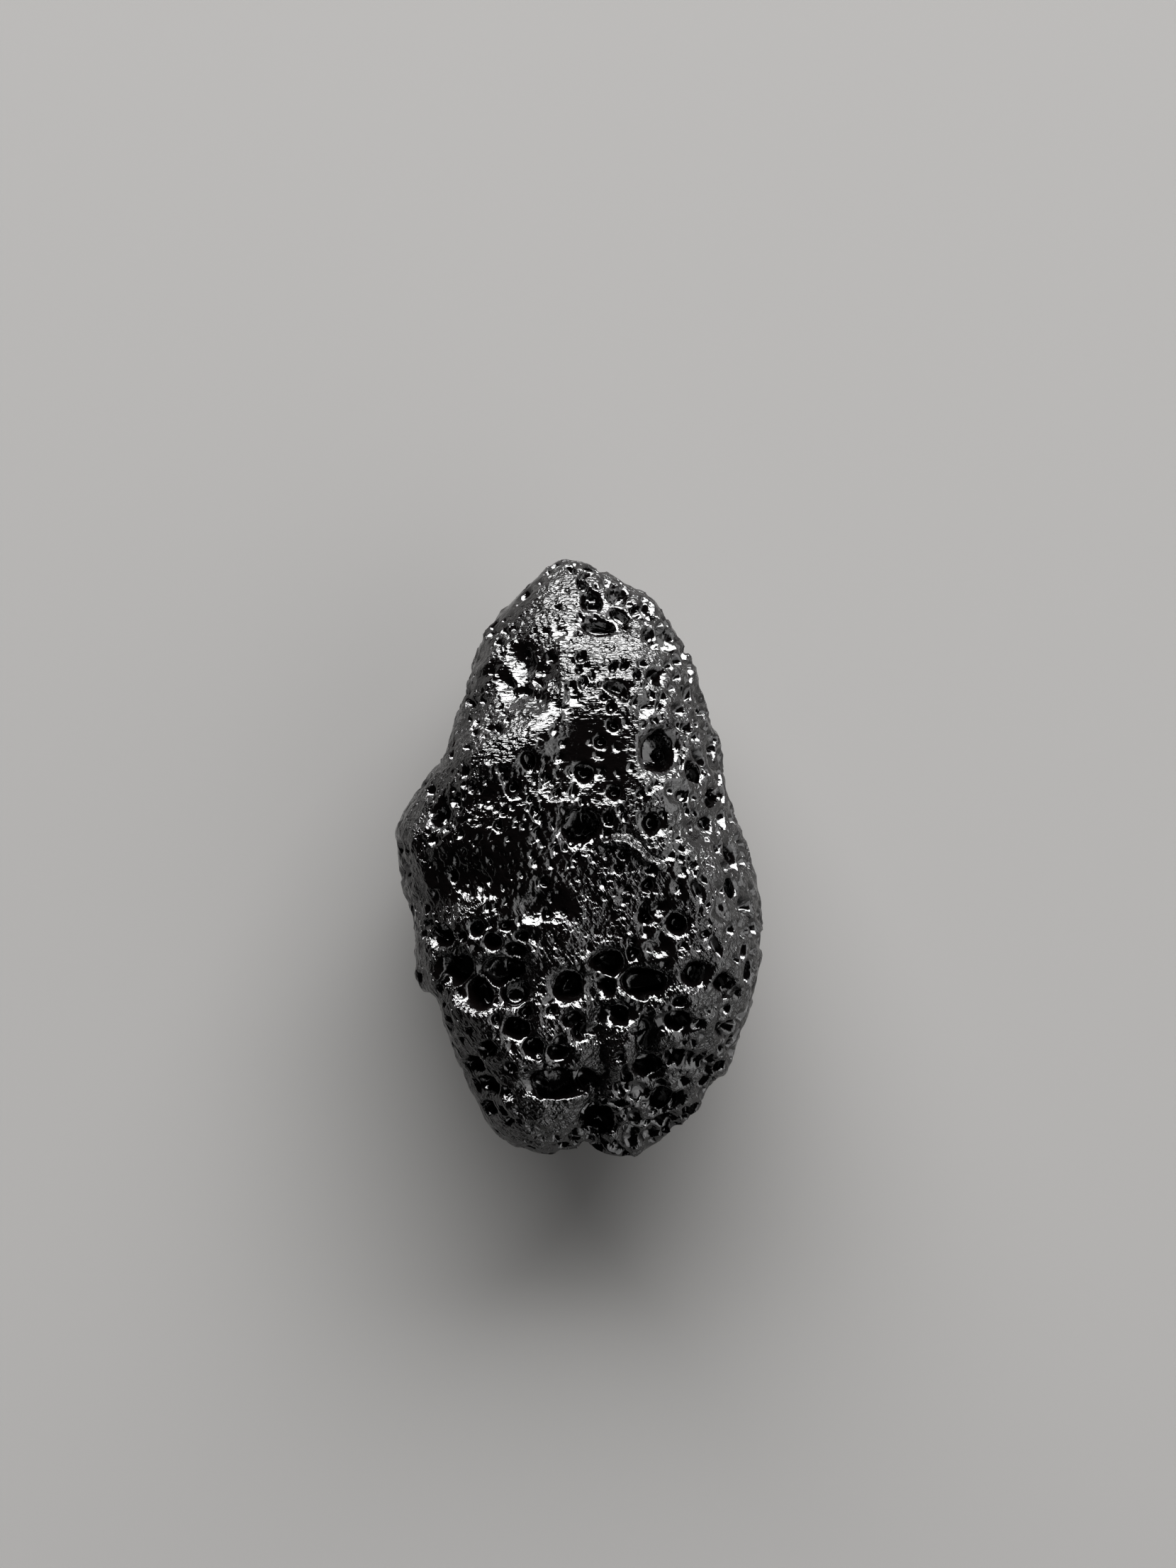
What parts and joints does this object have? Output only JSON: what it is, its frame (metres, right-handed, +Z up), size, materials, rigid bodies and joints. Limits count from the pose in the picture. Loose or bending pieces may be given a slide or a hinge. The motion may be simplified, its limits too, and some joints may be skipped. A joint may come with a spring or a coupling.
{
  "type": "tektite",
  "caption": "Small elongated tektite: a drop of glossy black natural glass, pitted all over, with a narrow and a blunt end, lying on its broad side.",
  "frame": {"origin": "centre of the bounding box in plan, at the height of the small flat spot that the stone rests on", "axes": "+Y along the stone to its narrow end, +X across it, +Z up through its thickness"},
  "size_m": [0.0088, 0.0144, 0.0058],
  "materials": {
    "tektite_glass": "gloss"
  },
  "bodies": {
    "root": {"tektite": "tektite_glass"}
  },
  "joints": []
}
